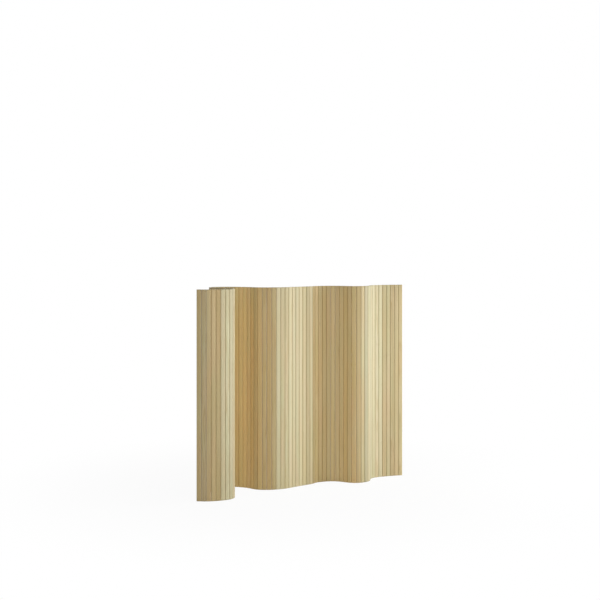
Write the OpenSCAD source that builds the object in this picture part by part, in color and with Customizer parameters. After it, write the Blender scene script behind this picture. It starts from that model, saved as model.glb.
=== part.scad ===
// Flexible screen of upright wooden slats, threaded on steel cables and standing in a free wave.
// Millimetres, +Z up. The origin is on the floor, under the middle of the wave's outline.
// The wave's two ends lie on a line along X.

/* [Slats] */
// Height of a slat
slat_h = 1500; // [900:10:1800]
// Width of a slat, over both its round edges
slat_w = 34; // [28:1:44]
// Thickness of a slat, which is also the diameter of its round edges
slat_t = 12; // [10:0.5:16]
// Eased corner round the head and the foot of a slat
slat_ease = 1; // [0.5:0.1:2.5]

/* [Hinges] */
// Largest angle that two neighbouring slats can bend to
hinge_bend = 30; // [26:1:40]
// Play left between two slats when they are bent that far
hinge_play = 0.15; // [0.1:0.05:0.5]

/* [Cables] */
// Diameter of a cable
cable_d = 2; // [1.5:0.1:2.6]
// Play all round a cable in its bore
cable_play = 0.6; // [0.4:0.05:0.8]
// Height of the lowest cable above the floor
cable_foot = 150; // [60:5:350]
// Distance of the highest cable below the heads of the slats
cable_head = 150; // [60:5:350]

/* [End stops] */
// Diameter of the crimped stop on each end of a cable
stop_d = 6; // [5:0.1:6.5]
// Length of a stop
stop_l = 8; // [6:0.5:10]
// Depth that a stop lies below the edge of its slat
stop_recess = 2; // [1:0.5:4]
// Play all round a stop in its pocket
stop_play = 0.3; // [0.1:0.05:0.5]
// Play all round a cable in its stop
crimp_play = 0.05; // [0.02:0.01:0.1]
// Wall at the closed end of a stop
stop_wall = 2; // [1:0.5:3]

/* [Hidden] */
$fn = 48;
// The wave from one end to the other: how many hinges each fold has, and how far it turns, left positive
FOLDS = [
    [4, 29], [9, 127], [14, -167], [3, -24], [3, 42], [3, 23], [3, 21], [5, -5],
    [2, 21], [2, -32], [6, -58], [5, 71], [2, 46], [5, -60], [5, -10]
];
// Neighbours that bend less than this at rest may be kept together as a pair
PAIR_ANGLE = 7;
// How far a cut runs past the face that it opens
OVERCUT = 1;
CABLE_SIDES = 8;

gap = slat_t * (1 / cos(hinge_bend / 2) - 1) + hinge_play;
pitch = slat_w + gap;
bore_d = cable_d + 2 * cable_play;
pocket_d = stop_d + 2 * stop_play;
pocket_depth = stop_recess + stop_l;
cable_names = ["lower_cable", "middle_cable", "upper_cable"];
cable_z = [cable_foot, (cable_foot + slat_h - cable_head) / 2, slat_h - cable_head];

// A fold's turn is spread over its hinges as half a sine, so neighbouring folds run into each other
bends = [for (fold = FOLDS) for (i = [0:fold[0] - 1])
    fold[1] * sin(90 / fold[0]) * sin(180 * (i + 0.5) / fold[0])];
slats = len(bends) + 1;

// Running totals of a list, which start at nothing
function totals(v, i = 0, sum = 0) = i == len(v) ? [sum] : concat([sum], totals(v, i + 1, sum + v[i]));

function along(angle, length) = length * [cos(angle), sin(angle)];

// The slats' headings, measured from the first slat, and the line from end to end that they make
loose_headings = totals(bends);
function path_x(v, n) = n < 0 ? 0 : along(v[n], pitch)[0] + path_x(v, n - 1);
function path_y(v, n) = n < 0 ? 0 : along(v[n], pitch)[1] + path_y(v, n - 1);
chord_angle = atan2(path_y(loose_headings, slats - 1), path_x(loose_headings, slats - 1));
headings = [for (a = loose_headings) a - chord_angle];

// Hinge axes, the first and the last being half a gap outside the end slats
loose_x = totals([for (a = headings) along(a, pitch)[0]]);
loose_y = totals([for (a = headings) along(a, pitch)[1]]);
nose = (slat_w - slat_t) / 2;
loose_noses = [for (k = [0:slats - 1]) for (side = [-1, 1])
    [loose_x[k], loose_y[k]] + along(headings[k], pitch / 2 + side * nose)];
nose_x = [for (p = loose_noses) p[0]];
nose_y = [for (p = loose_noses) p[1]];
middle = [(min(nose_x) + max(nose_x)) / 2, (min(nose_y) + max(nose_y)) / 2];
hinges = [for (k = [0:slats]) [loose_x[k], loose_y[k]] - middle];

// A slat starts a pair if the hinge after it is nearly straight and it isn't in the pair before
function starts_pair(k) = k >= 0 && k < slats - 1 && abs(bends[k]) < PAIR_ANGLE && !starts_pair(k - 1);
firsts = [for (k = [0:slats - 1]) if (!starts_pair(k - 1)) k];

function two_digits(n) = n < 10 ? str("0", n) : str(n);
function slat_name(k) = starts_pair(k)
    ? str("slats_", two_digits(k + 1), "_", two_digits(k + 2))
    : str("slat_", two_digits(k + 1));

// Upright stadium with eased corners at its head and foot, centred on its own axis
module slat_blank() {
    r = slat_t / 2;
    half = [
        [0, 0], [r - slat_ease, 0], [r, slat_ease],
        [r, slat_h - slat_ease], [r - slat_ease, slat_h], [0, slat_h]
    ];
    for (side = [-1, 1]) translate([side * nose, 0, 0]) rotate_extrude() polygon(half);
    rotate([90, 0, 90])
        linear_extrude(2 * nose, center = true)
            polygon([for (side = [-1, 1]) for (i = [0:len(half) - 1])
                let (p = half[side < 0 ? i : len(half) - 1 - i]) [side * p[0], p[1]]]);
}

// Round cut along a slat's width, from one place to another
module cross_bore(d, from, to, z) {
    translate([from, 0, z]) rotate([0, 90, 0]) cylinder(d = d, h = to - from);
}

// One slat in its own frame: its width along X, its foot at nothing, and the pockets of an end slat
module slat(is_first, is_last) {
    edge = slat_w / 2;
    difference() {
        slat_blank();
        for (z = cable_z) {
            cross_bore(bore_d, -edge - OVERCUT, edge + OVERCUT, z);
            if (is_first) cross_bore(pocket_d, -edge - OVERCUT, -edge + pocket_depth, z);
            if (is_last) cross_bore(pocket_d, edge - pocket_depth, edge + OVERCUT, z);
        }
    }
}

// Puts a piece that is drawn in a slat's own frame in that slat's place
module at_slat(k) {
    place = hinges[k] + along(headings[k], pitch / 2);
    translate([place[0], place[1], 0]) rotate([0, 0, headings[k]]) children();
}

// Pale wood, a little different from slat to slat
module slat_node(k) {
    for (n = starts_pair(k) ? [k, k + 1] : [k]) {
        tone = 0.03 * sin(n * 137);
        color([0.87 + tone, 0.76 + tone, 0.56 + tone]) at_slat(n) slat(n == 0, n == slats - 1);
    }
}

// A cable bends only at the hinge axes, and ends inside its stops
cable_end = slat_w / 2 - stop_recess - stop_wall - crimp_play;
cable_path = concat(
    [hinges[0] + along(headings[0], pitch / 2 - cable_end)],
    [for (k = [1:slats - 1]) hinges[k]],
    [hinges[slats - 1] + along(headings[slats - 1], pitch / 2 + cable_end)]
);

// Round tube along the cable's path, mitred at each hinge
module cable(z) {
    rings = len(cable_path);
    points = [for (k = [0:rings - 1]) for (s = [0:CABLE_SIDES - 1])
        let (
            bend = k == 0 || k == rings - 1 ? 0 : bends[k - 1],
            facing = headings[min(k, slats - 1)] - bend / 2 + 90,
            a = 360 * (s + 0.5) / CABLE_SIDES,
            side = along(facing, cable_d / 2 * cos(a) / cos(bend / 2))
        )
        [cable_path[k][0] + side[0], cable_path[k][1] + side[1], z + cable_d / 2 * sin(a)]];
    walls = [for (k = [0:rings - 2]) for (s = [0:CABLE_SIDES - 1])
        let (a = k * CABLE_SIDES + s, b = k * CABLE_SIDES + (s + 1) % CABLE_SIDES)
        for (face = [[a, a + CABLE_SIDES, b], [b, a + CABLE_SIDES, b + CABLE_SIDES]]) face];
    first_cap = [for (s = [1:CABLE_SIDES - 2]) [0, s, s + 1]];
    last = (rings - 1) * CABLE_SIDES;
    last_cap = [for (s = [1:CABLE_SIDES - 2]) [last, last + s + 1, last + s]];
    color([0.62, 0.63, 0.64]) polyhedron(points, concat(walls, first_cap, last_cap));
}

// Crimped stops on one end of the cables, each open towards its cable
module end_stops(k, side) {
    outer = slat_w / 2 - stop_recess;
    color([0.55, 0.56, 0.58])
        at_slat(k)
            for (z = cable_z)
                rotate([0, 0, side < 0 ? 180 : 0])
                    difference() {
                        cross_bore(stop_d, outer - stop_l, outer, z);
                        cross_bore(cable_d + 2 * crimp_play, outer - stop_l - OVERCUT, outer - stop_wall, z);
                    }
}

for (k = firsts) slat_node(k);
for (i = [0:2]) cable(cable_z[i]);
end_stops(0, -1);  // left_end_stops
end_stops(slats - 1, 1);  // right_end_stops
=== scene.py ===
import math

import bpy
import numpy as np
from bpy.props import FloatProperty, FloatVectorProperty, IntProperty, PointerProperty
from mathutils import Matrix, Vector


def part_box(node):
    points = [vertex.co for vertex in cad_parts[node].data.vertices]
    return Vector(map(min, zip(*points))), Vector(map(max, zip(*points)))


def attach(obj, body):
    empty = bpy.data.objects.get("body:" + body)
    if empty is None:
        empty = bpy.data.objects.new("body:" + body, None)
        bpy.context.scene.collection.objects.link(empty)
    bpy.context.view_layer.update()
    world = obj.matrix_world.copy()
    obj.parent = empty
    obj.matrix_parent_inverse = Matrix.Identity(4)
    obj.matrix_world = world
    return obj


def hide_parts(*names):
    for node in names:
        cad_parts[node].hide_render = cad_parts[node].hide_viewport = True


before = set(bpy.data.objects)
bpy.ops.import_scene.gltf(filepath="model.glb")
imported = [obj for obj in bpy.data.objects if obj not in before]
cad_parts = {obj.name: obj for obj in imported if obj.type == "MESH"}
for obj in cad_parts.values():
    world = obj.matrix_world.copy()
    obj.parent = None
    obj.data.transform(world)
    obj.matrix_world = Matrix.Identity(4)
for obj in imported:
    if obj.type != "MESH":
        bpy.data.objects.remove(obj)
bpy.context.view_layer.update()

bl_info = {
    "name": "Flexible slat screen",
    "version": (1, 0, 0),
    "blender": (4, 5, 0),
    "location": "3D View > Sidebar > Slat screen",
    "description": "Lacquered pine slats threaded on steel cables, standing in a free wave",
    "category": "Object",
}

# The wave from one end to the other: how many hinges each fold has, and how many degrees it turns
FOLDS = (
    (4, 29), (9, 127), (14, -167), (3, -24), (3, 42), (3, 23), (3, 21), (5, -5),
    (2, 21), (2, -32), (6, -58), (5, 71), (2, 46), (5, -60), (5, -10),
)
# The slats' tones, in runs of neighbouring slats. They are partly the wood's own differences and partly
# painted
# light and shade: cream runs stand where the lamps light the wave and amber runs in its shaded hollows, and
# the lightness of the runs also evens out where the lamps light the wave too much or too little. For each
# run: how many slats it has, how warm its wood is, from cream at 0 to amber at 1, and how light it is
BOARDS_AND_PAINTED_LIGHT = (
    (5, 0.7, 0.9), (4, 0.0, 1.0), (17, 0.5, 1.0), (5, 1.0, 1.25), (2, 1.0, 1.05),
    (3, 0.9, 0.9), (7, 0.1, 1.0), (3, 0.2, 0.95), (5, 0.8, 0.95), (6, 0.8, 1.0),
    (2, 0.5, 0.9), (6, 0.0, 0.85), (2, 0.0, 1.0), (5, 0.5, 0.9),
)
# How far a slat of this script may lie from its solid in the frame, in metres
FIT = 0.0005
# Width of the camera's sensor, in millimetres
SENSOR_WIDTH = 36.0
# How finely round shapes are drawn
EASE_POINTS = 5
EDGE_POINTS = 15
BORE_SIDES = 20
CABLE_SIDES = 24
STOP_SIDES = 36
RINGS_PER_LAY = 8
SHANK_RINGS = 17
# Rings of the dome on the end of a cable run, in degrees from the ring at the hinge axis
DOME = (80, 55, 28)
# Where the slats lay in their trees: their distance from the pith, the spread of their lean against it
# and the length of trunk that they are cut from, in metres
FROM_PITH = (0.06, 0.19)
LEAN_SPREAD = 0.0025
TRUNK = 400
# A slat's own differences stay within this many times their usual size
WIDEST = 2
# The crimp of a stop: how many flats it presses, the largest share of the radius that it presses in and
# the share of the stop's length that it takes
CRIMP_FLATS = 6
CRIMP_DEPTH = 0.1
CRIMP_LENGTH = 0.72
# Patterns of the pine: how often each repeats in a metre, twice across the trunk and once along it
WAVER = (9, 9, 1.6)
UNEVENNESS = (70, 70, 1)
STREAKS = (120, 120, 0.7)
FIBRES = (1500, 1500, 12)
MOTTLE = (14, 14, 2.2)
RESIN_MARKS = (420, 420, 22)
# How many rings' widths the unevenness can move a ring by
RING_SHIFT = 2.5
# How late the wood is from the start of a ring to its end, and how much resin there is by its noise
RING_CURVE = ((0.0, 0.25), (0.12, 0.0), (0.5, 0.12), (0.86, 1.0), (1.0, 0.25))
RESIN_CURVE = ((0.0, 0.0), (0.7, 0.0), (0.76, 1.0))
# Distances from the edge and from the ends of a slat over which the painted edge shade and the end
# darkening fade, in metres
PAINTED_EDGE_SHADE_BAND = (0.0005, 0.0035)
END_BAND = (0.001, 0.007)
# Depth of the fibres, in metres, and how high the late wood stands beside them
FIBRE_RELIEF = 0.00008
LATE_RELIEF = 0.5
# Scratches on the wire and turning marks on the stops: how often they repeat, along each part of the
# strand places and of the lathe places
SCRATCHES = (160, 14, 1)
TURNING_MARKS = (9000, 9000, 1)
# Depth of a turning mark, in metres
TURNING_RELIEF = 0.00003
# Where a strand turns from painted shade to bright steel, as shares of the way from the cable's middle to
# its crest
CREST_BAND = (0.6, 0.9)


def length(name, description, default, low, high):
    """Property for a size in metres."""
    return FloatProperty(
        name=name, description=description, default=default, min=low, max=high,
        unit="LENGTH", precision=4, step=0.01,
    )


def share(name, description, default):
    """Property for a share, from nothing to the whole."""
    return FloatProperty(name=name, description=description, default=default, min=0.0, max=1.0)


def power(name, description, default):
    """Property for the power of a lamp."""
    return FloatProperty(name=name, description=description, default=default, min=0.0, unit="POWER")


def turn(name, description, degrees):
    """Property for a turn about an upright line, given in degrees."""
    return FloatProperty(name=name, description=description, default=math.radians(degrees), unit="ROTATION")


def colour(name, description, default):
    """Property for a colour, as linear red, green and blue."""
    return FloatVectorProperty(
        name=name, description=description, default=default, size=3, min=0.0, max=1.0, subtype="COLOR",
    )


class SlatSizes(bpy.types.PropertyGroup):
    """Sizes of the slats and of the hinge gaps between them."""

    height: length("Height", "Height of a slat", 1.5, 0.9, 1.8)
    width: length("Width", "Width of a slat over both its round edges", 0.034, 0.028, 0.044)
    thickness: length("Thickness", "Thickness of a slat", 0.012, 0.01, 0.016)
    ease: length("Eased ends", "Radius round the head and the foot of a slat", 0.001, 0.0005, 0.0025)
    bend: FloatProperty(
        name="Largest bend", description="Largest angle that two neighbouring slats can bend to",
        default=math.radians(30), min=math.radians(26), max=math.radians(40), unit="ROTATION",
    )
    play: length("Hinge play", "Play between two slats at their largest bend", 0.00015, 0.0001, 0.0005)


class CableSizes(bpy.types.PropertyGroup):
    """Sizes of the cables, of their bores and of the stops on their ends."""

    diameter: length("Cable", "Diameter of a cable", 0.002, 0.0015, 0.0026)
    play: length("Bore play", "Play all round a cable in its bore", 0.0006, 0.0004, 0.0008)
    foot: length("Lowest cable", "Height of the lowest cable above the floor", 0.15, 0.06, 0.35)
    head: length("Highest cable", "Distance of the highest cable below the heads", 0.15, 0.06, 0.35)
    lay: length("Lay", "Length in which a strand winds once round its cable", 0.014, 0.008, 0.03)
    stop_diameter: length("Stop", "Diameter of a crimped stop", 0.006, 0.005, 0.0065)
    stop_length: length("Stop length", "Length of a crimped stop", 0.008, 0.006, 0.01)
    stop_recess: length("Stop recess", "Depth of a stop below the edge of its slat", 0.002, 0.001, 0.004)
    stop_play: length("Pocket play", "Play all round a stop in its pocket", 0.0003, 0.0001, 0.0005)
    crimp_play: length("Crimp play", "Play all round a cable in its stop", 0.00005, 0.00002, 0.0001)
    stop_wall: length("Stop wall", "Wall at the closed end of a stop", 0.002, 0.001, 0.003)


class PineLook(bpy.types.PropertyGroup):
    """Colours and grain of the lacquered pine."""

    # Cream and amber are wood tones, and by the warmth of each run they also paint light and shade along
    # the wave
    cream: colour("Cream", "Pale wood of the coolest boards", (0.665, 0.61, 0.4))
    amber: colour("Amber", "Pale wood of the warmest boards", (0.64, 0.48, 0.225))
    late: colour("Late wood", "Share of light that the darker line of a ring keeps", (0.76, 0.66, 0.5))
    resin: colour("Resin", "Short resin marks", (0.3, 0.17, 0.06))
    resin_depth: share("Resin depth", "How clearly the resin marks show", 0.45)
    ring_width: length("Ring width", "Average distance between rings", 0.0026, 0.001, 0.006)
    ring_depth: share("Ring depth", "How clearly the rings show", 0.55)
    ring_spread: share("Ring spread", "How much the slats differ in how clearly their rings show", 0.12)
    waver: length("Waver", "How far the rings waver along the trunk", 0.012, 0.0, 0.03)
    streak_depth: share("Streak depth", "How clearly the broad streaks show", 0.36)
    fibre_depth: share("Fibre depth", "How clearly the fine fibres show", 0.12)
    mottle_depth: share("Mottle depth", "How much warmer and cooler wood mix within a slat", 0.5)
    hue_depth: share("Hue depth", "How much rosier and greener wood mix within a slat", 0.14)
    # These spreads give each slat of a run a random tone of its own
    slat_spread: share("Slat spread", "How much the slats of one board differ in lightness", 0.05)
    warmth_spread: share("Warmth spread", "How much the slats of one board differ in warmth", 0.08)
    # Painted shade: the round edges are darkened as the grooves between neighbouring slats would be shaded
    painted_edge_shade: share("Edge depth", "How far lacquer that runs together darkens the round edges", 0.4)
    painted_edge_shade_spread: share("Edge spread", "How much the slats differ in the darkness of their edges", 0.2)
    # Darkens each slat within a few millimetres of its head and foot
    end_shade: share("End shade", "How much darker the sealed ends are", 0.15)
    relief: share("Relief", "How clearly the fibres and rings stand out from the surface", 0.25)
    roughness: share("Roughness", "Roughness of the wood under its lacquer", 0.6)
    roughness_spread: share("Roughness spread", "How much the fibres swing the roughness", 0.16)
    wood_gloss: share("Wood gloss", "Gloss of the wood under its lacquer", 0.15)
    lacquer: share("Lacquer", "Weight of the clear lacquer", 0.2)
    lacquer_roughness: share("Lacquer roughness", "Roughness of the clear lacquer", 0.4)
    seed: IntProperty(name="Seed", description="Choice of the log that each slat is cut from", default=11)


class SteelLook(bpy.types.PropertyGroup):
    """Colours and finish of the cables and their stops."""

    cable: colour("Cable", "Bright steel wire", (0.56, 0.57, 0.58))
    stop: colour("Stop", "Brushed steel", (0.45, 0.46, 0.48))
    # Painted shade: a dark steel colour in the grooves between strands and in the dents of a crimp
    painted_groove_shade: colour("Groove", "Dull steel between strands and in crimps", (0.16, 0.16, 0.17))
    # Painted shade: how far the dents of a crimp take on the dark groove colour
    painted_crimp_shade: share("Dull crimp", "How dull the deepest part of a crimp is", 0.7)
    mark_depth: share("Mark depth", "How clearly scratches and turning marks show", 0.3)
    mark_relief: share("Mark relief", "How clearly turning marks stand out from a stop", 0.3)
    cable_roughness: share("Cable roughness", "Roughness of the wire", 0.345)
    cable_spread: share("Cable spread", "How much the scratches swing the wire's roughness", 0.25)
    stop_roughness: share("Stop roughness", "Roughness of the stops", 0.35)
    stop_spread: share("Stop spread", "How much the turning marks swing the stops' roughness", 0.2)


class StageLook(bpy.types.PropertyGroup):
    """Camera, lamps and floor."""

    camera: FloatVectorProperty(
        name="Camera", description="Place of the level camera", default=(-4.4297, -7.541, 1.8386), size=3,
        subtype="TRANSLATION", unit="LENGTH",
    )
    camera_turn: turn("Camera turn", "Turn of the camera from looking along Y, left positive", -30.6526)
    lens: FloatProperty(
        name="Lens", description="Focal length in millimetres", default=69.2, min=20, max=200,
    )
    shift: FloatProperty(
        name="Shift", description="How far up the level view is shifted, as a share of its width",
        default=-0.0972, min=-0.5, max=0.5,
    )
    key_side: turn("Key side", "Turn round the screen from camera to main lamp, right positive", 93)
    key_power: power("Key", "Power of the main lamp", 74.0)
    fill_side: turn("Fill side", "Turn round the screen from camera to weak lamp, right positive", 10)
    fill_power: power("Fill", "Power of the weak lamp", 34.0)
    back_power: power("Back", "Power of the lamp behind the screen", 30.0)
    sky: share("Sky", "Strength of the even light from all round", 0.25)
    floor: colour("Floor", "Matt studio floor", (0.86, 0.86, 0.86))
    floor_side: length("Floor side", "Length of a side of the floor", 14.0, 4.0, 40.0)
    floor_drop: length("Floor drop", "How far the floor lies below the slats' feet", 0.0002, 0.0, 0.001)
    near_white: share("Near white", "How plainly white the camera sees the floor round the screen", 0.94)
    fade_start: length("Fade start", "Distance at which the floor starts to fade to white", 0.8, 0.0, 5.0)
    fade_end: length("Fade end", "Distance from which the floor is plain white", 2.6, 0.5, 10.0)


class ScreenSettings(bpy.types.PropertyGroup):
    """All that a user can change on the screen and its stage."""

    slats: PointerProperty(type=SlatSizes)
    cables: PointerProperty(type=CableSizes)
    pine: PointerProperty(type=PineLook)
    steel: PointerProperty(type=SteelLook)
    stage: PointerProperty(type=StageLook)


class Wave:
    """Plan of the screen: where each hinge axis stands and which way each slat runs.

    A fold of n hinges turns the screen by its whole angle, spread over the hinges as half a sine.
    Running totals of those bends are the slats' headings, and running totals of one pitch along each
    heading are the hinge axes. The plan is turned until its two ends lie along X, and moved until
    the middle of the box round all the slats' edges is the origin.
    """

    def __init__(self, slats):
        gap = slats.thickness * (1 / math.cos(slats.bend / 2) - 1) + slats.play
        self.pitch = slats.width + gap
        self.nose = (slats.width - slats.thickness) / 2
        bends = np.concatenate([
            math.radians(angle) * math.sin(math.pi / 2 / n) * np.sin(math.pi * (np.arange(n) + 0.5) / n)
            for n, angle in FOLDS
        ])
        loose = np.append(0.0, np.cumsum(bends))
        chord = np.array([np.cos(loose).sum(), np.sin(loose).sum()])
        headings = loose - math.atan2(chord[1], chord[0])
        self.along = np.stack([np.cos(headings), np.sin(headings)], 1)
        hinges = np.vstack([[0.0, 0.0], np.cumsum(self.pitch * self.along, 0)])
        centres = (hinges[:-1] + hinges[1:]) / 2
        noses = np.vstack([centres - self.nose * self.along, centres + self.nose * self.along])
        middle = (noses.min(0) + noses.max(0)) / 2
        self.hinges = hinges - middle
        self.centres = centres - middle
        self.count = len(headings)

    def put(self, slat, points):
        """Points of a slat's own frame in the slat's place, where slat counts from nought."""
        cosine, sine = self.along[slat]
        centre = self.centres[slat]
        x, y, z = points.T
        return np.stack([centre[0] + cosine * x - sine * y, centre[1] + sine * x + cosine * y, z], 1)


def slat_nodes():
    """The frame's slat nodes by name, each with the slats that it holds, counted from nought."""
    return {
        name: [int(number) - 1 for number in name.split("_")[1:]]
        for name in sorted(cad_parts) if name.startswith("slat")
    }


def check_fit(wave, slats):
    """Stops if a slat of the wave doesn't lie in its node's box."""
    for name, held in slat_nodes().items():
        noses = np.vstack([wave.centres[held] + side * wave.nose * wave.along[held] for side in (-1, 1)])
        low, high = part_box(name)
        reach = slats.thickness / 2
        mine = np.append(noses.min(0) - reach, noses.max(0) + reach)
        theirs = np.array([low[0], low[1], high[0], high[1]])
        if np.abs(mine - theirs).max() > FIT:
            raise RuntimeError(f"{name} lies at {theirs}, and the wave puts it at {mine}")


def cable_heights(slats, cables):
    """Heights of the three cables: the lowest, the one half way and the highest."""
    low, high = cables.foot, slats.height - cables.head
    return np.array([low, (low + high) / 2, high])


def tube_faces(rings, sides):
    """Quads of a closed tube whose rings run along the way that a right-handed turn round it drives."""
    ring, side = np.meshgrid(np.arange(rings - 1), np.arange(sides), indexing="ij")
    here = ring * sides + side
    beside = ring * sides + (side + 1) % sides
    return np.stack([here, beside, beside + sides, here + sides], -1).reshape(-1, 4).tolist()


def capped_tube(rings):
    """Points and faces of a closed tube through an array of rings, with a flat face on each end."""
    count, sides, _ = rings.shape
    last = (count - 1) * sides
    caps = [list(range(sides))[::-1], list(range(last, last + sides))]
    return rings.reshape(-1, 3), tube_faces(count, sides) + caps


def joined(parts):
    """One list of points and faces from several, each face counting on from the points before it."""
    points, faces, start = [], [], 0
    for part_points, part_faces in parts:
        points.append(part_points)
        faces += [[corner + start for corner in face] for face in part_faces]
        start += len(part_points)
    return np.vstack(points), faces


def turned_rings(profile, sides, height):
    """Rings turned about a line along X at a height: each (x, radius) is one circle round that line."""
    angle = 2 * np.pi * np.arange(sides) / sides
    x, radius = np.array(profile, float).T
    return np.stack([
        np.repeat(x[:, None], sides, 1),
        radius[:, None] * np.cos(angle),
        height + radius[:, None] * np.sin(angle),
    ], -1)


def new_mesh(name, points, faces):
    """A mesh from an array of points and lists of corners."""
    mesh = bpy.data.meshes.new(name)
    mesh.from_pydata(np.asarray(points).tolist(), [], faces)
    mesh.update()
    return mesh


def smooth(mesh, sharp_degrees=35):
    """Smooth shading, with a crisp edge where two faces meet at more than the given angle."""
    mesh.polygons.foreach_set("use_smooth", np.ones(len(mesh.polygons), bool))
    mesh.set_sharp_from_angle(angle=math.radians(sharp_degrees))


def mesh_points(mesh):
    """A mesh's vertices as an array."""
    points = np.zeros(len(mesh.vertices) * 3, np.float32)
    mesh.vertices.foreach_get("co", points)
    return points.reshape(-1, 3).astype(float)


def add_vectors(mesh, name, values):
    """A vector for each vertex, kept under a name for the materials."""
    attribute = mesh.attributes.new(name, "FLOAT_VECTOR", "POINT")
    attribute.data.foreach_set("vector", np.asarray(values, np.float32).ravel())


def placed(name, data):
    """An object for a mesh or a lamp, in place of an older one of that name."""
    older = bpy.data.objects.get(name)
    if older is not None:
        bpy.data.objects.remove(older)
    made = bpy.data.objects.new(name, data)
    bpy.context.collection.objects.link(made)
    return made


def add_piece(name, mesh, material):
    """A piece of the screen or of the stage: a finished mesh with its material."""
    mesh.materials.clear()
    mesh.materials.append(material)
    return placed(name, mesh)


def slat_skin(slats, heights, gap_round_bore):
    """Closed surface of one slat in its own frame: width along X, thickness along Y, foot at nought.

    The section is two half circles of half the thickness, centred at the two ends of the flats. Going
    up the slat, their radius shrinks by an inset, which follows a quarter circle of the easing radius
    at the foot and at the head. A level lies above and below each bore, so the cuts stay local.
    """
    quarter = np.linspace(0, np.pi / 2, EASE_POINTS)
    rise = slats.ease * (1 - np.cos(quarter))
    inset = slats.ease * (1 - np.sin(quarter))
    round_bores = np.sort(np.concatenate([heights - gap_round_bore, heights + gap_round_bore]))
    levels = np.concatenate([rise, round_bores, slats.height - rise[::-1]])
    insets = np.concatenate([inset, np.zeros(len(round_bores)), inset[::-1]])
    arc = np.linspace(-np.pi / 2, np.pi / 2, EDGE_POINTS)
    angle = np.concatenate([arc, arc + np.pi])
    nose = (slats.width - slats.thickness) / 2
    centre = np.repeat([nose, -nose], len(arc))
    radius = slats.thickness / 2 - insets[:, None]
    rings = np.stack([
        centre + radius * np.cos(angle),
        radius * np.sin(angle),
        np.repeat(levels[:, None], len(angle), 1),
    ], -1)
    return capped_tube(rings)


def bore_profile(slats, cables, is_first, is_last):
    """The bore's radius along the slat, from edge to edge: wider in an end slat's pocket, and flared a
    little where it opens between two slats. The cut runs a little past the edge."""
    edge = slats.width / 2
    past = 0.001
    flare = 0.0004
    bore = cables.diameter / 2 + cables.play
    pocket = cables.stop_diameter / 2 + cables.stop_play
    depth = cables.stop_recess + cables.stop_length
    mouth = [(edge - 2 * flare, bore), (edge + past, bore + flare + past / 2)]
    wide = [(edge - depth, bore), (edge - depth, pocket), (edge + past, pocket)]
    left = [(-x, radius) for x, radius in reversed(wide if is_first else mouth)]
    return left + (wide if is_last else mouth)


def slat_template(slats, cables, is_first, is_last):
    """Mesh of one slat in its own frame, with its three bores cut through."""
    heights = cable_heights(slats, cables)
    blank = slat_skin(slats, heights, cables.stop_diameter)
    skin = placed("skin", new_mesh("skin", *blank))
    profile = bore_profile(slats, cables, is_first, is_last)
    cuts = joined([capped_tube(turned_rings(profile, BORE_SIDES, height)) for height in heights])
    cutter = placed("cutter", new_mesh("cutter", *cuts))
    cut = skin.modifiers.new("bores", "BOOLEAN")
    cut.operation = "DIFFERENCE"
    cut.solver = "EXACT"
    cut.object = cutter
    bpy.context.view_layer.update()
    finished = bpy.data.meshes.new_from_object(skin.evaluated_get(bpy.context.evaluated_depsgraph_get()))
    for part in (skin, cutter):
        bpy.data.objects.remove(part)
    if not finished.polygons:
        raise RuntimeError("the bores of a slat couldn't be cut")
    smooth(finished)
    return finished


def log_places(points, random):
    """Where each point of a slat lay in its tree: the pith is the line along Z.

    The slat is turned by any angle about its own axis, set off from the pith, leant against it a little
    and moved along it, so that each slat has its own stretch of trunk.
    """
    angle = random.uniform(0, 2 * math.pi)
    away = random.uniform(*FROM_PITH)
    lean = random.normal(0, LEAN_SPREAD, 2)
    up = random.uniform(0, TRUNK)
    x, y, z = points.T
    return np.stack([
        away + x * math.cos(angle) - y * math.sin(angle) + lean[0] * z,
        x * math.sin(angle) + y * math.cos(angle) + lean[1] * z,
        z + up,
    ], 1)


class MakeSlats(bpy.types.Operator):
    """Makes the slats, each in its place and on the body that holds it"""

    bl_idname = "slat_screen.make_slats"
    bl_label = "Make slats"

    def execute(self, context):
        settings = context.scene.slat_screen
        slats, cables, look = settings.slats, settings.cables, settings.pine
        wave = Wave(slats)
        check_fit(wave, slats)
        last = wave.count - 1
        kinds = ((True, False), (False, False), (False, True))
        templates = {kind: slat_template(slats, cables, *kind) for kind in kinds}
        pine = pine_material(look, slats)
        # Each slat's warmth and lightness: the wood's own tone, and painted light and shade along the wave
        counts, warmths, lights = zip(*BOARDS_AND_PAINTED_LIGHT)
        warmth, lightness = np.repeat(warmths, counts), np.repeat(lights, counts)
        for node_name, held in slat_nodes().items():
            for slat in held:
                mesh = templates[(slat == 0, slat == last)].copy()
                own = mesh_points(mesh)
                mesh.vertices.foreach_set("co", wave.put(slat, own).astype(np.float32).ravel())
                random = np.random.default_rng([look.seed, slat])
                add_vectors(mesh, "slat_place", own)
                add_vectors(mesh, "log_place", log_places(own, random))
                lighter, warmer, depth = np.clip(random.normal(0, 1, 3), -WIDEST, WIDEST)
                tone = (
                    lightness[slat] + look.slat_spread * lighter,
                    warmth[slat] + look.warmth_spread * warmer,
                    depth,
                )
                add_vectors(mesh, "slat_tone", np.tile(tone, (len(own), 1)))
                mesh.update()
                piece = add_piece(f"pine_slat_{slat + 1:02d}", mesh, pine)
                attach(piece, node_name)
                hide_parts(node_name)
        return {"FINISHED"}


def strand_radius(angle, radius):
    """Outline of a cable of six round strands: seen from the middle of a strand, the distance out to
    that strand's circle, which is a third of the cable's radius and centred at two thirds."""
    sixth = np.pi / 3
    off = (angle + sixth / 2) % sixth - sixth / 2
    centre, strand = 2 * radius / 3, radius / 3
    return centre * np.cos(off) + np.sqrt(np.maximum(strand**2 - (centre * np.sin(off))**2, 0))


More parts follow.
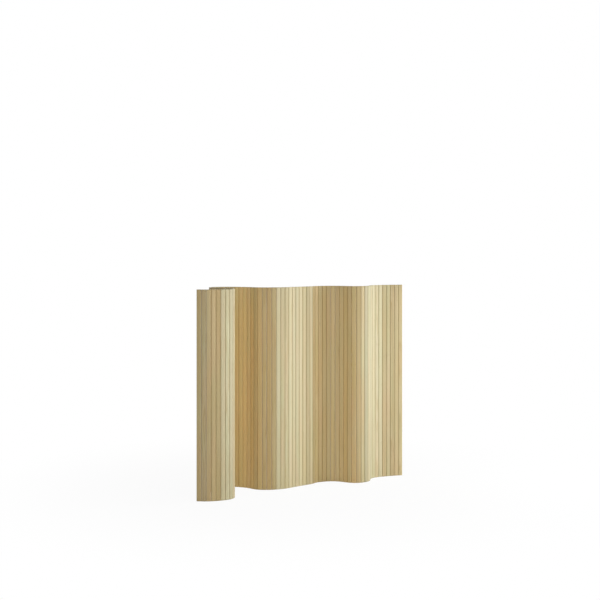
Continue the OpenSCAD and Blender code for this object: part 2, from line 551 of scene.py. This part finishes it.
def cable_run(start, end, height, cables, phase):
    """Points, faces and strand places of a straight run of cable between two places of the plan.

    The rings of the outline turn once in each lay. Past a hinge axis the run ends in a dome, whose
    rings shrink as a circle does, so that two runs meet as a ball however they bend.
    """
    radius = cables.diameter / 2
    span = float(np.linalg.norm(end - start))
    along = (end - start) / span
    steps = max(2, round(RINGS_PER_LAY * span / cables.lay))
    middle = np.linspace(0, span, steps + 1)
    dome = np.radians(DOME)
    out = radius * np.sin(dome)
    at = np.concatenate([-out, middle, span + out[::-1]])
    shrink = np.concatenate([np.cos(dome), np.ones(len(middle)), np.cos(dome[::-1])])
    column = 2 * np.pi * np.arange(CABLE_SIDES) / CABLE_SIDES
    r = strand_radius(column, radius) * shrink[:, None]
    angle = column + phase + 2 * np.pi * at[:, None] / cables.lay
    across = r * np.cos(angle)
    rings = np.stack([
        start[0] + along[0] * at[:, None] - along[1] * across,
        start[1] + along[1] * at[:, None] + along[0] * across,
        height + r * np.sin(angle),
    ], -1)
    strands = np.stack([
        np.repeat(at[:, None], len(column), 1),
        np.repeat(column[None], len(at), 0),
        r / radius,
    ], -1).reshape(-1, 3)
    return capped_tube(rings), strands


class MakeCables(bpy.types.Operator):
    """Makes the three cables, split at the hinge axes into runs that follow the slats"""

    bl_idname = "slat_screen.make_cables"
    bl_label = "Make cables"

    def execute(self, context):
        settings = context.scene.slat_screen
        slats, cables = settings.slats, settings.cables
        wave = Wave(slats)
        steel = cable_material(settings.steel)
        # Half a diameter is left for the dome, which ends a little off the wall of the stop
        beyond = cables.stop_recess + cables.stop_wall + cables.crimp_play
        end = slats.width / 2 - beyond - cables.diameter / 2
        path = wave.hinges.copy()
        path[0] = wave.centres[0] - end * wave.along[0]
        path[-1] = wave.centres[-1] + end * wave.along[-1]
        phase = 2 * np.pi * wave.pitch / cables.lay
        for node_name, held in slat_nodes().items():
            runs = [
                cable_run(path[slat], path[slat + 1], height, cables, slat * phase)
                for height in cable_heights(slats, cables) for slat in held
            ]
            mesh = new_mesh("cable_runs", *joined([run for run, _ in runs]))
            add_vectors(mesh, "strand_place", np.vstack([strands for _, strands in runs]))
            smooth(mesh, sharp_degrees=80)
            piece = add_piece(node_name.replace("slats", "cables").replace("slat", "cables"), mesh, steel)
            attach(piece, node_name)
            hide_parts("lower_cable", "middle_cable", "upper_cable")
        return {"FINISHED"}


def end_stop(slats, cables, height):
    """Points, faces and lathe places of one stop in its slat's frame, with its closed end outwards.

    It is turned from an outline that runs up the bore, over the rim and out to the closed face, with
    small chamfers and a lathe's centre mark. Round its middle the crimp presses flats: there the radius
    falls by a small share that swings once for each flat and fades along the stop as a raised cosine.
    """
    outer = slats.width / 2 - cables.stop_recess
    inner = outer - cables.stop_length
    radius = cables.stop_diameter / 2
    bore = cables.diameter / 2 + cables.crimp_play
    bottom = outer - cables.stop_wall
    chamfer = 0.0004
    bore_point = 0.02 * bore
    face_ring, mark_rim, mark_point = 0.55 * radius, 0.16 * radius, 0.03 * radius
    shank = np.linspace(inner + chamfer, outer - chamfer, SHANK_RINGS)
    outline = (
        [(bottom, bore_point), (bottom, bore), (inner + chamfer, bore), (inner, bore + chamfer)]
        + [(inner, radius - chamfer)]
        + [(x, radius) for x in shank]
        + [(outer, radius - chamfer), (outer, face_ring), (outer, mark_rim)]
        + [(outer - chamfer / 2, mark_point)]
    )
    rings = turned_rings(outline, STOP_SIDES, 0.0)
    x = rings[..., 0]
    angle = np.arctan2(rings[..., 2], rings[..., 1])
    on_shank = np.hypot(rings[..., 1], rings[..., 2]) > radius - chamfer / 2
    reach = np.clip((x - (inner + outer) / 2) / (cables.stop_length * CRIMP_LENGTH / 2), -1, 1)
    pressed = (1 + np.cos(np.pi * reach)) / 2 * (1 + np.cos(CRIMP_FLATS * angle)) / 2
    dent = np.where(on_shank, CRIMP_DEPTH * pressed, 0)
    rings[..., 1:] *= 1 - dent[..., None]
    away = np.hypot(rings[..., 1], rings[..., 2])
    # The third part of a lathe place is the dent's depth, which sets the painted shade in the crimp
    lathe = np.stack([x, away, dent / CRIMP_DEPTH], -1).reshape(-1, 3)
    rings[..., 2] += height
    return capped_tube(rings), lathe


class MakeEndStops(bpy.types.Operator):
    """Makes the crimped stops in the pockets of the two end slats"""

    bl_idname = "slat_screen.make_end_stops"
    bl_label = "Make end stops"

    def execute(self, context):
        settings = context.scene.slat_screen
        slats, cables = settings.slats, settings.cables
        wave = Wave(slats)
        steel = stop_material(settings.steel)
        bodies = {slat: name for name, held in slat_nodes().items() for slat in held}
        for side, slat, node_name in ((-1, 0, "left_end_stops"), (1, wave.count - 1, "right_end_stops")):
            stops = [end_stop(slats, cables, height) for height in cable_heights(slats, cables)]
            points, faces = joined([stop for stop, _ in stops])
            points = wave.put(slat, points * (side, side, 1))
            mesh = new_mesh(node_name, points, faces)
            add_vectors(mesh, "lathe_place", np.vstack([lathe for _, lathe in stops]))
            smooth(mesh)
            piece = add_piece(node_name.replace("end", "cable"), mesh, steel)
            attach(piece, bodies[slat])
            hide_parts(node_name)
        return {"FINISHED"}


def add_node(tree, kind, inputs=None, **settings):
    """A shader node with its settings, each input being given a value or linked to a socket."""
    made = tree.nodes.new(kind)
    for name, value in settings.items():
        setattr(made, name, value)
    for name, value in (inputs or {}).items():
        if isinstance(value, bpy.types.NodeSocket):
            tree.links.new(value, made.inputs[name])
        else:
            made.inputs[name].default_value = value
    return made


def maths(tree, operation, *values, clamp=False):
    """A Math node's result for values that are numbers or sockets."""
    inputs = dict(enumerate(values))
    return add_node(tree, "ShaderNodeMath", inputs, operation=operation, use_clamp=clamp).outputs[0]


def vector_maths(tree, operation, *values):
    """A Vector Math node's result for values that are vectors or sockets."""
    return add_node(tree, "ShaderNodeVectorMath", dict(enumerate(values)), operation=operation).outputs[0]


def length_of(tree, vector):
    """The length of a vector."""
    return add_node(tree, "ShaderNodeVectorMath", {0: vector}, operation="LENGTH").outputs["Value"]


def scaled(tree, vector, scale):
    """A vector or colour times a number."""
    return add_node(tree, "ShaderNodeVectorMath", {0: vector, "Scale": scale}, operation="SCALE").outputs[0]


def swung(tree, base, noise, depth, clamp=False):
    """A base that noise, which lies round a half, swings to both sides by a depth."""
    return maths(tree, "MULTIPLY_ADD", maths(tree, "SUBTRACT", noise, 0.5), depth, base, clamp=clamp)


def faded(tree, value, band, at_start, at_end, **settings):
    """A number that goes from its start to its end while a value passes through a band."""
    inputs = dict(enumerate((value, *band, at_start, at_end)))
    return add_node(tree, "ShaderNodeMapRange", inputs, **settings).outputs[0]


def mixed(tree, factor, first, second, blend="MIX"):
    """A blend of two colours, which may be sockets or plain colours.

    A Mix node takes its colours at inputs 6 and 7 and gives their blend at output 2.
    """
    inputs = {
        place: value if isinstance(value, bpy.types.NodeSocket) else (*value, 1.0)
        for place, value in ((6, first), (7, second))
    }
    made = add_node(tree, "ShaderNodeMix", {0: factor, **inputs}, data_type="RGBA", blend_type=blend)
    return made.outputs[2]


def kept_vector(tree, name):
    """The vector that a mesh keeps under a name."""
    return add_node(tree, "ShaderNodeAttribute", attribute_name=name).outputs["Vector"]


def parts_of(tree, vector):
    """The three parts of a vector."""
    return add_node(tree, "ShaderNodeSeparateXYZ", {0: vector}).outputs


def stretched_noise(tree, vector, scale, detail, output="Fac"):
    """Noise whose grain is one over the scale along each axis, in metres."""
    inputs = {"Vector": vector_maths(tree, "MULTIPLY", vector, scale), "Scale": 1.0, "Detail": detail}
    return add_node(tree, "ShaderNodeTexNoise", inputs).outputs[output]


def ramp(tree, value, stops):
    """A curve through (place, height) stops, read at a value."""
    made = add_node(tree, "ShaderNodeValToRGB", {0: value})
    elements = made.color_ramp.elements
    while len(elements) < len(stops):
        elements.new(0.5)
    for element, (place, height) in zip(elements, stops):
        element.position = place
        element.color = (height, height, height, 1.0)
    return made.outputs[0]


def emptied(owner):
    """The node tree of a material or of the world, with no nodes in it."""
    owner.use_nodes = True
    owner.node_tree.nodes.clear()
    return owner.node_tree


def empty_material(name):
    """The material of a name, which may be new or made before, and its emptied node tree."""
    material = bpy.data.materials.get(name) or bpy.data.materials.new(name)
    return material, emptied(material)


def new_material(name):
    """A material with its node tree and its main shader."""
    material, tree = empty_material(name)
    shader = add_node(tree, "ShaderNodeBsdfPrincipled")
    output = add_node(tree, "ShaderNodeOutputMaterial")
    tree.links.new(shader.outputs[0], output.inputs[0])
    return material, tree, shader


def add_bump(tree, shader, strength, distance, height):
    """Relief on a shader's surface: its strength, its depth in metres and the pattern that it follows."""
    bump = add_node(tree, "ShaderNodeBump", {"Strength": strength, "Distance": distance, "Height": height})
    tree.links.new(bump.outputs[0], shader.inputs["Normal"])


def late_wood(tree, log, look):
    """How late the wood is at each log place, and the log places as the waver leaves them.

    Noise moves the places across the trunk. Their distance from the pith then counts the rings, which a
    second noise makes uneven, and late wood is a narrow dark line at the end of each ring.
    """
    waver = stretched_noise(tree, log, WAVER, detail=2.0, output="Color")
    both_ways = vector_maths(tree, "ADD", waver, (-0.5, -0.5, -0.5))
    wavered = vector_maths(tree, "MULTIPLY_ADD", both_ways, (look.waver, look.waver, 0.0), log)
    flat = vector_maths(tree, "MULTIPLY", wavered, (1, 1, 0))
    rings = maths(tree, "DIVIDE", length_of(tree, flat), look.ring_width)
    uneven = stretched_noise(tree, flat, UNEVENNESS, detail=1.0)
    ring = maths(tree, "FRACT", maths(tree, "MULTIPLY_ADD", uneven, RING_SHIFT, rings))
    return ramp(tree, ring, RING_CURVE), wavered


def wood_colour(tree, log, late, warm, depth, look):
    """Colour of the bare wood: mottled from cream to amber round the slat's warmth, which also paints light
    and shade along the wave, tinted a little rosier or greener, darker in the late wood, and with sparse
    resin marks."""
    mottle, rosy, _ = parts_of(tree, stretched_noise(tree, log, MOTTLE, detail=1.0, output="Color"))
    mottled = swung(tree, warm, mottle, look.mottle_depth, clamp=True)
    wood = mixed(tree, mottled, look.cream, look.amber)
    hue = (look.hue_depth, -look.hue_depth / 2, 0.0)
    tint = vector_maths(tree, "MULTIPLY_ADD", maths(tree, "SUBTRACT", rosy, 0.5), hue, (1.0, 1.0, 1.0))
    wood = vector_maths(tree, "MULTIPLY", wood, tint)
    ring_depth = maths(tree, "MULTIPLY_ADD", depth, look.ring_spread, look.ring_depth)
    wood = mixed(tree, maths(tree, "MULTIPLY", late, ring_depth, clamp=True), wood, look.late, "MULTIPLY")
    marks = ramp(tree, stretched_noise(tree, log, RESIN_MARKS, detail=1.0), RESIN_CURVE)
    return mixed(tree, maths(tree, "MULTIPLY", marks, look.resin_depth), wood, look.resin)


def pine_material(look, slats):
    """Lacquered pine, cut from a tree whose rings lie round the pith in the log places.

    The round edges are darkened with painted shade of the grooves between slats, more on some slats than on
    others.
    Broad streaks and fine fibres along the trunk swing the slat's lightness, which also paints light and
    shade along the wave, and the slat is darker within a few millimetres of its head and foot. The fibres
    also swing the roughness and, with the late wood, stand out a little.
    """
    material, tree, shader = new_material("Lacquered pine")
    log = kept_vector(tree, "log_place")
    across, _, height = parts_of(tree, kept_vector(tree, "slat_place"))
    light, warm, depth = parts_of(tree, kept_vector(tree, "slat_tone"))
    late, wavered = late_wood(tree, log, look)
    fibre = stretched_noise(tree, log, FIBRES, detail=3.0)
    streak = stretched_noise(tree, wavered, STREAKS, detail=2.0)

    wood = wood_colour(tree, log, late, warm, depth, look)
    # Painted shade in the grooves between slats: the late wood's colour darkens the last millimetres of
    # each edge
    to_edge = maths(tree, "SUBTRACT", slats.width / 2, maths(tree, "ABSOLUTE", across))
    painted_edge_shade = maths(tree, "MULTIPLY_ADD", depth, look.painted_edge_shade_spread, look.painted_edge_shade, clamp=True)
    wood = mixed(tree, faded(tree, to_edge, PAINTED_EDGE_SHADE_BAND, painted_edge_shade, 0.0), wood, look.late, "MULTIPLY")

    # The slat's lightness, which also paints light and shade along the wave, swung by streaks and fibres
    tone = swung(tree, light, streak, look.streak_depth)
    tone = swung(tree, tone, fibre, look.fibre_depth)
    # Darker within a few millimetres of the head and foot
    to_end = maths(tree, "MINIMUM", height, maths(tree, "SUBTRACT", slats.height, height))
    tone = maths(tree, "MULTIPLY", tone, faded(tree, to_end, END_BAND, 1.0 - look.end_shade, 1.0))

    tree.links.new(scaled(tree, wood, tone), shader.inputs["Base Color"])
    roughness = swung(tree, look.roughness, fibre, look.roughness_spread)
    tree.links.new(roughness, shader.inputs["Roughness"])
    relief = maths(tree, "MULTIPLY_ADD", late, LATE_RELIEF, fibre)
    add_bump(tree, shader, look.relief, FIBRE_RELIEF, relief)
    shader.inputs["Specular IOR Level"].default_value = look.wood_gloss
    shader.inputs["Coat Weight"].default_value = look.lacquer
    shader.inputs["Coat Roughness"].default_value = look.lacquer_roughness
    return material


def finish_steel(tree, shader, steel, marks, mark_depth, roughness, spread):
    """Makes a shader steel of a colour, with marks that swing its brightness and its roughness."""
    shine = scaled(tree, steel, swung(tree, 1.0, marks, mark_depth))
    tree.links.new(shine, shader.inputs["Base Color"])
    tree.links.new(swung(tree, roughness, marks, spread), shader.inputs["Roughness"])
    shader.inputs["Metallic"].default_value = 1.0


def cable_material(look):
    """Bright steel wire, with painted shade where the strands meet and fine scratches along each strand."""
    material, tree, shader = new_material("Cable steel")
    strands = kept_vector(tree, "strand_place")
    # Painted shade where the strands meet, fading to bright steel towards each strand's crest
    crest = faded(tree, parts_of(tree, strands)[2], CREST_BAND, 0.0, 1.0)
    steel = mixed(tree, crest, look.painted_groove_shade, look.cable)
    drawn = stretched_noise(tree, strands, SCRATCHES, detail=2.0)
    finish_steel(tree, shader, steel, drawn, look.mark_depth, look.cable_roughness, look.cable_spread)
    return material


def stop_material(look):
    """Brushed steel with fine turning marks round the stop, and painted shade in the dents of the crimp."""
    material, tree, shader = new_material("Stop steel")
    lathe = kept_vector(tree, "lathe_place")
    # Painted shade in the dents of the crimp, darkest where they are deepest
    dull = maths(tree, "MULTIPLY", parts_of(tree, lathe)[2], look.painted_crimp_shade, clamp=True)
    steel = mixed(tree, dull, look.stop, look.painted_groove_shade)
    turning = stretched_noise(tree, lathe, TURNING_MARKS, detail=2.0)
    finish_steel(tree, shader, steel, turning, look.mark_depth, look.stop_roughness, look.stop_spread)
    add_bump(tree, shader, look.mark_relief, TURNING_RELIEF, turning)
    return material


def seen_directly(tree):
    """One for what the camera sees, also in gloss and through glass, and nought for other light."""
    path = add_node(tree, "ShaderNodeLightPath").outputs
    gloss = maths(tree, "MAXIMUM", path["Is Glossy Ray"], path["Is Transmission Ray"])
    return maths(tree, "MAXIMUM", path["Is Camera Ray"], gloss)


def floor_material(look):
    """Matt pale floor that fades to plain white away from the screen, and keeps the screen's shadow."""
    material, tree = empty_material("Studio floor")
    matt = add_node(tree, "ShaderNodeBsdfDiffuse", {"Color": (*look.floor, 1.0)})
    white = add_node(tree, "ShaderNodeEmission", {"Color": (1, 1, 1, 1), "Strength": 1.0})
    away = length_of(tree, add_node(tree, "ShaderNodeTexCoord").outputs["Object"])
    band = (look.fade_start, look.fade_end)
    fade = faded(tree, away, band, look.near_white, 1.0, interpolation_type="SMOOTHSTEP")
    whiteness = maths(tree, "MULTIPLY", seen_directly(tree), fade)
    mix = add_node(tree, "ShaderNodeMixShader", {0: whiteness, 1: matt.outputs[0], 2: white.outputs[0]})
    output = add_node(tree, "ShaderNodeOutputMaterial")
    tree.links.new(mix.outputs[0], output.inputs[0])
    return material


def add_lamp(name, watts, size, place, target):
    """Adds a rectangular lamp at a place, turned to face a target."""
    lamp = bpy.data.lights.new(name, "AREA")
    lamp.shape = "RECTANGLE"
    lamp.size, lamp.size_y = size
    lamp.energy = watts
    holder = placed(name, lamp)
    holder.location = place
    holder.rotation_euler = (Vector(target) - Vector(place)).to_track_quat("-Z", "Y").to_euler()


def about_screen(bearing, distance, height):
    """A place over the floor, at a bearing that runs anticlockwise from straight in front of the screen."""
    return (distance * math.sin(bearing), -distance * math.cos(bearing), height)


class MakeStage(bpy.types.Operator):
    """Makes the camera, the lamps, the white surroundings and the floor"""

    bl_idname = "slat_screen.make_stage"
    bl_label = "Make stage"

    def execute(self, context):
        scene = context.scene
        settings = scene.slat_screen
        look = settings.stage
        scene.view_settings.view_transform = "Standard"

        camera = bpy.data.objects.get("Camera")
        if camera is None:
            camera = bpy.data.objects.new("Camera", bpy.data.cameras.new("Camera"))
        if camera.name not in context.collection.objects:
            context.collection.objects.link(camera)
        camera.data.lens = look.lens
        camera.data.sensor_width = SENSOR_WIDTH
        camera.data.shift_y = look.shift
        camera.location = look.camera
        camera.rotation_euler = (math.pi / 2, 0.0, look.camera_turn)
        scene.camera = camera

        middle = (0.0, 0.0, settings.slats.height / 2)
        for name, watts, size, side, distance, height in (
            ("Key lamp", look.key_power, (1.6, 2.4), look.key_side, 3.2, 1.3),
            ("Fill lamp", look.fill_power, (2.2, 2.2), look.fill_side, 3.0, 1.5),
            ("Back lamp", look.back_power, (2.2, 2.2), math.pi, 3.0, 1.5),
        ):
            add_lamp(name, watts, size, about_screen(look.camera_turn + side, distance, height), middle)

        world = scene.world or bpy.data.worlds.new("Surroundings")
        scene.world = world
        tree = emptied(world)
        strength = faded(tree, seen_directly(tree), (0.0, 1.0), look.sky, 1.0)
        light = add_node(tree, "ShaderNodeBackground", {"Color": (1, 1, 1, 1), "Strength": strength})
        output = add_node(tree, "ShaderNodeOutputWorld")
        tree.links.new(light.outputs[0], output.inputs[0])

        half, low = look.floor_side / 2, -look.floor_drop
        corners = [(-half, -half, low), (half, -half, low), (half, half, low), (-half, half, low)]
        plane = new_mesh("studio_floor", corners, [[0, 1, 2, 3]])
        floor = add_piece("studio_floor", plane, floor_material(look))
        return {"FINISHED"}


class SlatScreenPanel(bpy.types.Panel):
    """Sizes, colours and makers of the slat screen"""

    bl_idname = "VIEW3D_PT_slat_screen"
    bl_label = "Slat screen"
    bl_space_type = "VIEW_3D"
    bl_region_type = "UI"
    bl_category = "Slat screen"

    def draw(self, context):
        settings = context.scene.slat_screen
        for title, maker, groups in (
            ("Slats", MakeSlats, ("slats", "pine")),
            ("Cables", MakeCables, ("cables", "steel")),
            ("End stops", MakeEndStops, ()),
            ("Stage", MakeStage, ("stage",)),
        ):
            box = self.layout.box()
            box.label(text=title)
            for group in groups:
                values = getattr(settings, group)
                for name in values.__annotations__:
                    box.prop(values, name)
            box.operator(maker.bl_idname)


CLASSES = (
    SlatSizes, CableSizes, PineLook, SteelLook, StageLook, ScreenSettings,
    MakeSlats, MakeCables, MakeEndStops, MakeStage, SlatScreenPanel,
)


def register():
    for made in CLASSES:
        bpy.utils.register_class(made)
    bpy.types.Scene.slat_screen = PointerProperty(type=ScreenSettings)


def unregister():
    del bpy.types.Scene.slat_screen
    for made in reversed(CLASSES):
        bpy.utils.unregister_class(made)


def main():
    register()
    bpy.ops.slat_screen.make_stage()
    bpy.ops.slat_screen.make_slats()
    bpy.ops.slat_screen.make_cables()
    bpy.ops.slat_screen.make_end_stops()


if __name__ == "__main__":
    main()
